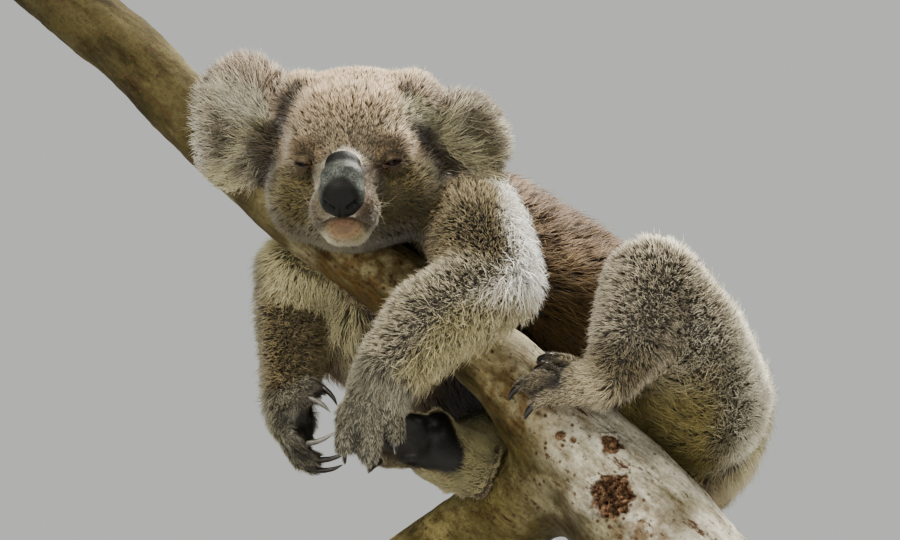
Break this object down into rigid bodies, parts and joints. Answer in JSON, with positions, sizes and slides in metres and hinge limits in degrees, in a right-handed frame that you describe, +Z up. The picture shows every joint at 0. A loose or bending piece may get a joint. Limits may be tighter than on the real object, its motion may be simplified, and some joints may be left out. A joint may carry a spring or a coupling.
{
  "type": "koala model",
  "caption": "Still life-size koala hugging a short sloping length of gum-tree limb, held on a plain wooden display base by short steel rods.",
  "frame": {"origin": "centre of the flat underside of the display base", "axes": "+Z up; the limb rises towards -X, where the head is; the face looks along -Y"},
  "size_m": [0.6426, 0.3424, 0.6766],
  "materials": {
    "coat_grey": "thick woolly grey-brown fur with pale tips",
    "coat_brown": "woolly brown fur",
    "nose_leather": "bare dark grey skin, fine grain",
    "eye": "wet dark brown glass eye",
    "claw_horn": "dark horn",
    "bark": "smooth pale gum bark with brown specks",
    "stand_wood": "dark satin wood",
    "stand_steel": "brushed steel"
  },
  "bodies": {
    "root": {"claw_foot_left_1": "claw_horn", "claw_foot_left_2": "claw_horn", "claw_foot_left_3": "claw_horn", "claw_foot_left_4": "claw_horn", "claw_foot_right_2": "claw_horn", "claw_foot_right_3": "claw_horn", "claw_foot_right_4": "claw_horn", "claw_hand_left_1": "claw_horn", "claw_hand_left_2": "claw_horn", "claw_hand_left_3": "claw_horn", "claw_hand_left_4": "claw_horn", "claw_hand_left_5": "claw_horn", "claw_hand_right_1": "claw_horn", "claw_hand_right_2": "claw_horn", "claw_hand_right_3": "claw_horn", "claw_hand_right_4": "claw_horn", "claw_hand_right_5": "claw_horn", "ear_left": "coat_grey", "ear_right": "coat_grey", "eye_left": "eye", "eye_right": "eye", "foot_left": "coat_grey", "foot_right": "coat_grey", "forearm_left": "coat_grey", "forearm_right": "coat_grey", "hand_left": "coat_grey", "hand_right": "coat_grey", "head": "coat_grey", "neck": "coat_grey", "nose": "nose_leather", "perch_limb": "bark", "shin_left": "coat_grey", "shin_right": "coat_grey", "stand_base": "stand_wood", "stand_collar_1": "stand_steel", "stand_collar_2": "stand_steel", "stand_rod_1": "stand_steel", "stand_rod_2": "stand_steel", "thigh_left": "coat_grey", "thigh_right": "coat_grey", "trunk": "coat_brown", "upper_arm_left": "coat_grey", "upper_arm_right": "coat_grey"}
  },
  "joints": []
}
